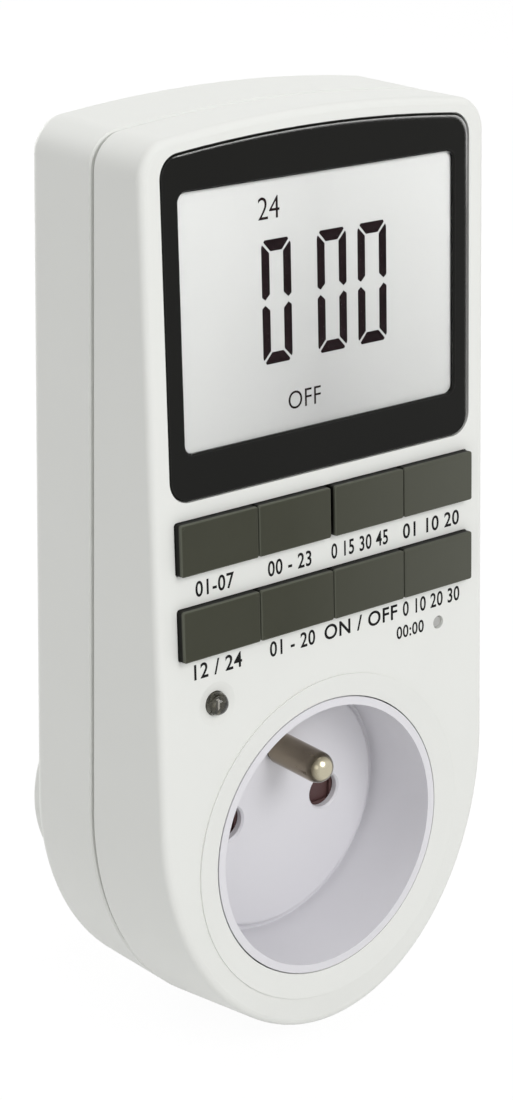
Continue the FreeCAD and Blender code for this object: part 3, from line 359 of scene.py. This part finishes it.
def earth_pin_material():
    """Nickel, dark brownish and streaked along its length; painted shade darkens its shoulder, a painted
    highlight brightens its rounded tip.
    """
    # Painted shade on the shoulder and painted highlight on the tip, set by how squarely the surface faces
    # the front
    shoulder = (0.1, 0.4)                # how squarely the surface faces the front
    tip = (0.5, 0.85)
    # Darker and browner than the other pins' nickel, streaked along its length
    made = material("pin_dark_brownish", (0.3, 0.255, 0.19), 0.2, metallic=1.0, mottle=0.16, mottle_scale=260,
                    rough_vary=0.08, grain=0.08, stretch=(1, 0.12, 1), edge=(0.6, 0.56, 0.46))
    tree = made.node_tree
    shader, tone = shader_and_tone(made)
    facing = facing_front(tree)
    # Painted shade darkens the shoulder
    tone = mix_colours(tree, rise(tree, facing, *shoulder), tone, (0.14, 0.12, 0.085))
    # Painted highlight brightens the rounded tip
    tone = mix_colours(tree, rise(tree, facing, *tip), tone, (0.52, 0.48, 0.36))
    link(tree, tone, shader.inputs["Base Color"])
    return made


def lamp_material():
    """Smoky clear resin."""
    made = material("lamp_smoky", (0.5, 0.48, 0.42), 0.05, rough_vary=0.02, mottle=0.25, mottle_scale=500,
                    grain=0.05)
    return clear(made, 1.45)


# One look for each material slot of the record
looks = {
    "case_plastic": material("case_white", srgb(232, 233, 229), 0.5, specular=0.4, mottle=0.006,
                             rough_vary=0.03, grain=0.08),
    "insert_plastic": material("insert_white", srgb(224, 223, 227), 0.34, mottle=0.005, mottle_scale=40,
                               rough_vary=0.012, grain=0.03),
    "frame_plastic": frame_material(),
    "window_plastic": window_material(),
    "lcd_glass": display_material(),
    "holder_plastic": material("holder_grey", (0.6, 0.6, 0.58), 0.5),
    "strip_rubber": material("strip_rubber", (0.06, 0.06, 0.07), 0.7, stretch=(40, 1, 1)),
    "mat_rubber": material("mat_rubber", (0.4, 0.42, 0.43), 0.65),
    "board_laminate": material("board_green", (0.015, 0.12, 0.05), 0.35, mottle=0.2, mottle_scale=300,
                               edge=(0.35, 0.33, 0.2)),
    "led_lens": lamp_material(),
    "button_plastic": material("button_grey", srgb(178, 178, 175), 0.4),
    "switch_plastic": material("switch_black", (0.02, 0.02, 0.022), 0.45),
    "chip_resin": material("chip_black", (0.015, 0.015, 0.016), 0.3, mottle=0.1, grain=0.25,
                           grain_scale=2500),
    "crystal_steel": material("crystal_can", (0.65, 0.65, 0.66), 0.28, metallic=1.0),
    "pin_nickel": material("pin_nickel", (0.5, 0.475, 0.42), 0.22, metallic=1.0, mottle=0.06,
                           mottle_scale=400, rough_vary=0.08, grain=0.08, stretch=(1, 0.15, 1),
                           edge=(0.8, 0.76, 0.66)),
    "shutter_plastic": material("shutter_brown", srgb(78, 52, 51), 0.5, mottle=0.08),
    "spring_steel": material("spring_wire", (0.5, 0.5, 0.51), 0.3, metallic=1.0),
    "carrier_plastic": material("carrier_white", (0.6, 0.6, 0.57), 0.5),
    "contact_brass": material("contact_brass", (0.62, 0.43, 0.17), 0.3, metallic=1.0, mottle=0.08,
                              stretch=(1, 1, 6)),
    "earth_steel": material("earth_strip", (0.58, 0.56, 0.52), 0.3, metallic=1.0, mottle=0.06,
                            mottle_scale=300, stretch=(1, 6, 1), edge=(0.75, 0.73, 0.68)),
    "relay_plastic": material("relay_blue", (0.02, 0.04, 0.1), 0.4),
    "film_resin": material("film_red", (0.4, 0.04, 0.02), 0.35),
    "can_aluminium": material("can_sleeve", (0.03, 0.035, 0.06), 0.35),
    "disc_resin": material("disc_blue", (0.03, 0.1, 0.3), 0.3, grain=0.3, grain_scale=2500),
    "battery_steel": material("battery_can", (0.66, 0.66, 0.64), 0.26, metallic=1.0),
    "resistor_resin": material("resistor_blue", (0.25, 0.42, 0.47), 0.35),
    "cable_plastic": material("cable_grey", (0.42, 0.42, 0.42), 0.45, mottle=0.2, stretch=(60, 1, 1)),
    "wire_brown": material("wire_brown", (0.1, 0.04, 0.02), 0.45),
    "wire_blue": material("wire_blue", (0.02, 0.07, 0.3), 0.45),
    "key_plastic": key_material(),
    "screw_steel": material("screw_zinc", (0.5, 0.5, 0.51), 0.32, metallic=1.0, mottle=0.08,
                            mottle_scale=500, edge=(0.7, 0.7, 0.7)),
}
# Looks of one node, and of pieces that are made here
own_looks = {"earth_pin": earth_pin_material()}
cup_metal = material("cup_metal", (0.12, 0.117, 0.095), 0.3, metallic=1.0, mottle=0.8, mottle_scale=900)
print_black = material("print_black", srgb(22, 21, 21), 0.5, mottle=0.04, mottle_scale=500, specular=0.1)
segment_black = material("segment_black", srgb(24, 15, 17), 0.45, mottle=0.05, mottle_scale=400,
                         specular=0.05)

for row in frame["record"]["subparts"]:
    node = frame["nodes"][row["node"]]
    node.data.materials.clear()
    node.data.materials.append(own_looks.get(row["node"]) or looks[row["material_slot"]])

# The clear window throws no shadow on the display behind it
frame["nodes"]["display_window"].visible_shadow = False


# Printed marks and display

WELD = 0.0001 * MM


def add_piece(name, mesh, finish, body="case"):
    """Show a mesh as a piece of its own that rides on a body."""
    piece = bpy.data.objects.new(name, mesh)
    bpy.context.scene.collection.objects.link(piece)
    mesh.materials.clear()
    mesh.materials.append(finish)
    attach(piece, body)
    return piece


def mesh_from(work, name):
    """Turn worked faces into a mesh with its faces turned outwards."""
    bmesh.ops.recalc_face_normals(work, faces=work.faces)
    mesh = bpy.data.meshes.new(name)
    work.to_mesh(mesh)
    work.free()
    return mesh


def words_mesh(words, spacing, weight):
    """Outline of a few characters as a closed thin slab, one unit thick."""
    curve = bpy.data.curves.new("words", "FONT")
    curve.body = words
    curve.align_x = "CENTER"
    curve.extrude = 0.5
    curve.offset = weight
    curve.space_character = spacing
    curve.resolution_u = 5
    holder = bpy.data.objects.new("words", curve)
    bpy.context.scene.collection.objects.link(holder)
    bpy.context.view_layer.update()
    made = bpy.data.meshes.new_from_object(holder)
    bpy.data.objects.remove(holder)
    bpy.data.curves.remove(curve)
    return made


def cap_height():
    """Height of a digit in the words' own units."""
    mesh = words_mesh("0", 1.0, 0.0)
    ups = [vertex.co.y for vertex in mesh.vertices]
    return max(ups) - min(ups)


CAP = cap_height()


def print_words(name, words, across, up, wide, height, deep, thick, finish, spacing, weight):
    """Flat print on the front, its middle at across and its foot at up, as wide and high as given."""
    mesh = words_mesh(words, spacing, weight)
    size = height / CAP
    lefts = [vertex.co.x for vertex in mesh.vertices]
    middle = (min(lefts) + max(lefts)) / 2
    stretch = wide / (max(lefts) - min(lefts))
    for vertex in mesh.vertices:
        x, y, z = vertex.co
        vertex.co = on_front(across + (x - middle) * stretch, deep - (z + 0.5) * thick, up + y * size)
    work = bmesh.new()
    work.from_mesh(mesh)
    bmesh.ops.remove_doubles(work, verts=work.verts, dist=WELD)
    bmesh.ops.recalc_face_normals(work, faces=work.faces)
    work.to_mesh(mesh)
    work.free()
    return add_piece(name, mesh, finish)


def slab_mesh(name, outlines, deep, thick):
    """Flat polygons on the front, each raised into a closed slab."""
    work = bmesh.new()
    for outline in outlines:
        near = [work.verts.new(on_front(x, deep - thick, z)) for x, z in outline]
        far = [work.verts.new(on_front(x, deep, z)) for x, z in outline]
        work.faces.new(near)
        work.faces.new(list(reversed(far)))
        count = len(outline)
        for i in range(count):
            j = (i + 1) % count
            work.faces.new((near[j], near[i], far[i], far[j]))
    return mesh_from(work, name)


def zero_outlines(left, right, low, high):
    """The six lit segments of a display zero: two bars and four uprights."""
    stroke = 1.4             # width of an upright
    bar = 1.62               # height of a bar
    bar_end = 0.62           # from the side to the end of a bar's outer edge
    nose_in = 0.42           # blunt nose at each end of a bar
    nose_down = 0.3
    gap = 0.22               # between a bar and an upright
    crown_in = 0.2           # blunt top of an upright, its two corners
    crown_down = 0.62
    blunt_in = 0.06
    blunt_down = 0.78
    shoulder_down = 1.1
    inner_foot = 1.12        # foot of an upright, above the middle of the zero
    point_in = 0.56
    point_up = 0.36
    outer_foot = 0.8
    middle = (low + high) / 2
    upper_bar = [
        (left + bar_end, high), (right - bar_end, high), (right - nose_in, high - nose_down),
        (right - stroke - gap, high - bar), (left + stroke + gap, high - bar),
        (left + nose_in, high - nose_down),
    ]
    upper_left = [
        (left + blunt_in, high - blunt_down), (left + crown_in, high - crown_down),
        (left + stroke, high - bar - gap), (left + stroke, middle + inner_foot),
        (left + point_in, middle + point_up), (left, middle + outer_foot), (left, high - shoulder_down),
    ]
    outlines = []
    for upper in (upper_bar, upper_left, [(left + right - x, z) for x, z in upper_left]):
        outlines.append(upper)
        outlines.append([(x, 2 * middle - z) for x, z in upper])
    return outlines


DIGIT_LOW = 72.95
DIGIT_HIGH = 90.2
DIGIT_SIDES = ((-10.51, -5.23), (-0.47, 4.93), (7.06, 12.5))
SIGN_DEPTH = LCD_DEPTH + 0.02
SIGN_THICK = 0.05
digits = []
for left, right in DIGIT_SIDES:
    digits += zero_outlines(left, right, DIGIT_LOW, DIGIT_HIGH)
add_piece("display_digits", slab_mesh("display_digits", digits, SIGN_DEPTH, SIGN_THICK), segment_black)

# Each sign's name, characters, middle, foot, width, height, spacing and added weight
SIGNS = (
    ("display_upper_mark", "24", -9.0, 93.0, 3.8, 3.15, 1.0, -0.006),
    ("display_lower_mark", "OFF", -3.15, 65.9, 5.95, 2.6, 1.05, -0.004),
)
for name, words, across, up, wide, height, spacing, weight in SIGNS:
    print_words(name, words, across, up, wide, height, SIGN_DEPTH, SIGN_THICK, segment_black,
                spacing, weight)

UPPER_BASE = 42.85
LOWER_BASE = 30.9
RESET_BASE = 27.6
LEGEND_HIGH = 2.2
RESET_LEGEND_HIGH = 1.87
LEGEND_DEPTH = 0.01
LEGEND_THICK = 0.035
LEGEND_SPACING = 1.08
LEGEND_WEIGHT = 0.015

# Each legend's name, characters, middle, foot, width and height
LEGENDS = (
    ("legend_1", "01-07", -20.8, UPPER_BASE, 6.85, LEGEND_HIGH),
    ("legend_2", "00 - 23", -7.15, UPPER_BASE, 8.1, LEGEND_HIGH),
    ("legend_3", "0 15 30 45", 6.2, UPPER_BASE, 11.0, LEGEND_HIGH),
    ("legend_4", "01 10 20", 20.4, UPPER_BASE, 11.4, LEGEND_HIGH),
    ("legend_5", "12 / 24", -20.6, LOWER_BASE, 8.6, LEGEND_HIGH),
    ("legend_6", "01 - 20", -6.9, LOWER_BASE, 8.5, LEGEND_HIGH),
    ("legend_7", "ON / OFF", 6.3, LOWER_BASE, 14.3, LEGEND_HIGH),
    ("legend_8", "0 10 20 30", 20.4, LOWER_BASE, 11.6, LEGEND_HIGH),
    ("legend_9", "00:00", 16.07, RESET_BASE, 5.5, RESET_LEGEND_HIGH),
)
for name, words, across, up, wide, height in LEGENDS:
    print_words(name, words, across, up, wide, height, LEGEND_DEPTH, LEGEND_THICK, print_black,
                LEGEND_SPACING, LEGEND_WEIGHT)


# Inside of the lamp

LAMP_ACROSS = -21.0
LAMP_UP = 26.45
CUP_RADIUS = 1.42
CUP_FRONT = 0.5
CUP_BACK = 2.2
HOLLOW_FRONT = 1.05  # radii of the hollow behind the cup's flat front
HOLLOW_BACK = 0.8
HOLLOW_BEND = 1.0    # depth from which the hollow is straight
LEAD_DEPTH = 0.0
LEAD_THICK = 0.25
LEAD = ((-0.12, -0.65), (0.12, -0.5), (0.12, 0.55), (-0.03, 0.7), (-0.32, 0.64), (-0.32, 0.5), (-0.12, 0.52))


def turned_mesh(name, profile, across, up, steps=40):
    """Closed body turned about an axis square to the front; profile is radius and depth."""
    work = bmesh.new()
    rings = []
    for radius, deep in profile:
        ring = []
        for step in range(steps):
            turn = 2 * math.pi * step / steps
            point = on_front(across + radius * math.cos(turn), deep, up + radius * math.sin(turn))
            ring.append(work.verts.new(point))
        rings.append(ring)
    for near, far in zip(rings, rings[1:]):
        for step in range(steps):
            after = (step + 1) % steps
            work.faces.new((near[step], near[after], far[after], far[step]))
    work.faces.new(list(reversed(rings[0])))
    work.faces.new(rings[-1])
    return mesh_from(work, name)


def lamp_inside():
    """Dull cup with the bright lead of the lamp before it, both cast into the resin."""
    cup = (
        (CUP_RADIUS, CUP_FRONT), (CUP_RADIUS, CUP_BACK), (HOLLOW_BACK, CUP_BACK), (HOLLOW_BACK, HOLLOW_BEND),
        (HOLLOW_FRONT, CUP_FRONT),
    )
    add_piece("lamp_cup", turned_mesh("lamp_cup", cup, LAMP_ACROSS, LAMP_UP), cup_metal)
    outline = [(LAMP_ACROSS + x, LAMP_UP + z) for x, z in LEAD]
    add_piece("lamp_lead", slab_mesh("lamp_lead", [outline], LEAD_DEPTH, LEAD_THICK), looks["crystal_steel"])


lamp_inside()


# Shutter spring

def giving_spring():
    """The shutter's spring as a piece of its own, with its own copy of the mesh, riding on the case in place
    of the node.
    """
    mesh = frame["nodes"]["shutter_spring"].data.copy()
    spring = add_piece("shutter_spring_coil", mesh, looks["spring_steel"])
    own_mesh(spring)
    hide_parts("shutter_spring")


giving_spring()


# Floor, light and camera, with places and sizes in metres

FLOOR_HALF = 3.0
FLOOR_BELOW = 0.0004      # under the object's lowest point
FLOOR_GLOW = 1.03
FLOOR_GLOW_SHARE = 0.93   # of what the eye sees; the rest takes the object's shadow
WORLD_LEVEL = 0.45        # as light on the object; the eye sees 1


def seen_by_eye(tree):
    """1 for rays that the camera sees straight, in gloss or through clear pieces, and 0 for light."""
    path = tree.nodes.new("ShaderNodeLightPath")
    seen = path.outputs["Is Camera Ray"]
    for kind in ("Is Glossy Ray", "Is Transmission Ray"):
        seen = join(tree, "MAXIMUM", seen, path.outputs[kind])
    return seen


def floor_material():
    """Pale floor; the camera sees it almost white, with the object's soft shadow."""
    made = bpy.data.materials.new("floor_pale")
    made.use_nodes = True
    tree = made.node_tree
    shader = tree.nodes["Principled BSDF"]
    shader.inputs["Base Color"].default_value = (0.86, 0.86, 0.86, 1.0)
    shader.inputs["Roughness"].default_value = 0.9
    shader.inputs["Specular IOR Level"].default_value = 0.0
    glow = tree.nodes.new("ShaderNodeEmission")
    glow.inputs["Strength"].default_value = FLOOR_GLOW
    share = tree.nodes.new("ShaderNodeMath")
    share.operation = "MULTIPLY"
    share.inputs[1].default_value = FLOOR_GLOW_SHARE
    link(tree, seen_by_eye(tree), share.inputs[0])
    blend = tree.nodes.new("ShaderNodeMixShader")
    link(tree, share.outputs["Value"], blend.inputs[0])
    link(tree, shader.outputs["BSDF"], blend.inputs[1])
    link(tree, glow.outputs["Emission"], blend.inputs[2])
    link(tree, blend.outputs["Shader"], tree.nodes["Material Output"].inputs["Surface"])
    return made


def make_floor():
    height = cad_box[0].z - FLOOR_BELOW
    corners = [(-FLOOR_HALF, -FLOOR_HALF, height), (FLOOR_HALF, -FLOOR_HALF, height),
               (FLOOR_HALF, FLOOR_HALF, height), (-FLOOR_HALF, FLOOR_HALF, height)]
    mesh = bpy.data.meshes.new("floor")
    mesh.from_pydata(corners, [], [(0, 1, 2, 3)])
    floor = bpy.data.objects.new("floor", mesh)
    bpy.context.scene.collection.objects.link(floor)
    mesh.materials.append(floor_material())


def make_world():
    world = bpy.data.worlds.new("studio")
    bpy.context.scene.world = world
    world.use_nodes = True
    tree = world.node_tree
    background = tree.nodes["Background"]
    background.inputs["Color"].default_value = (1.0, 1.0, 1.0, 1.0)
    level = spread(tree, seen_by_eye(tree), WORLD_LEVEL, 1.0, 0.0, 1.0)
    link(tree, level, background.inputs["Strength"])


# Each lamp's name, place, power in watts and diameter; all point at the same spot
LAMPS = (
    ("key_lamp", (0.06, -0.78, 0.55), 3.2, 0.5),
    ("fill_lamp", (-0.85, -0.75, 0.4), 0.85, 0.6),
    ("top_lamp", (0.1, 0.1, 1.2), 3.0, 0.8),
    ("rim_lamp", (-0.02, 1.0, 0.3), 5.2, 0.5),
)
LAMPS_POINT_AT = (0.0, -0.03, 0.04)


def area_lamp(name, place, power, size):
    """Round lamp, turned to the spot that all of them point at."""
    lamp = bpy.data.lights.new(name, "AREA")
    lamp.energy = power
    lamp.shape = "DISK"
    lamp.size = size
    holder = bpy.data.objects.new(name, lamp)
    bpy.context.scene.collection.objects.link(holder)
    holder.location = place
    holder.rotation_mode = "QUATERNION"
    holder.rotation_quaternion = (Vector(LAMPS_POINT_AT) - Vector(place)).to_track_quat("-Z", "Y")


def make_camera():
    """The photo's own camera, found from the object's straight edges."""
    place = (-0.2336, -0.3030, 0.1790)
    yaw = 0.7085         # angles in radians
    pitch = 0.3545
    roll = -0.0230
    forward = Vector((math.sin(yaw) * math.cos(pitch), math.cos(yaw) * math.cos(pitch), -math.sin(pitch)))
    flat_right = Vector((math.cos(yaw), -math.sin(yaw), 0))
    flat_down = forward.cross(flat_right)
    right = math.cos(roll) * flat_right + math.sin(roll) * flat_down
    down = -math.sin(roll) * flat_right + math.cos(roll) * flat_down
    turn = Matrix((right, -down, -forward)).transposed().to_4x4()
    data = bpy.data.cameras.new("camera")
    data.lens = 84.94
    data.sensor_width = 36.0
    data.clip_start = 0.01
    data.clip_end = 20.0
    camera = bpy.data.objects.new("camera", data)
    bpy.context.scene.collection.objects.link(camera)
    camera.matrix_world = Matrix.Translation(place) @ turn
    bpy.context.scene.camera = camera


make_floor()
make_world()
for name, place, power, size in LAMPS:
    area_lamp(name, place, power, size)
make_camera()
bpy.context.scene.view_settings.view_transform = "Standard"
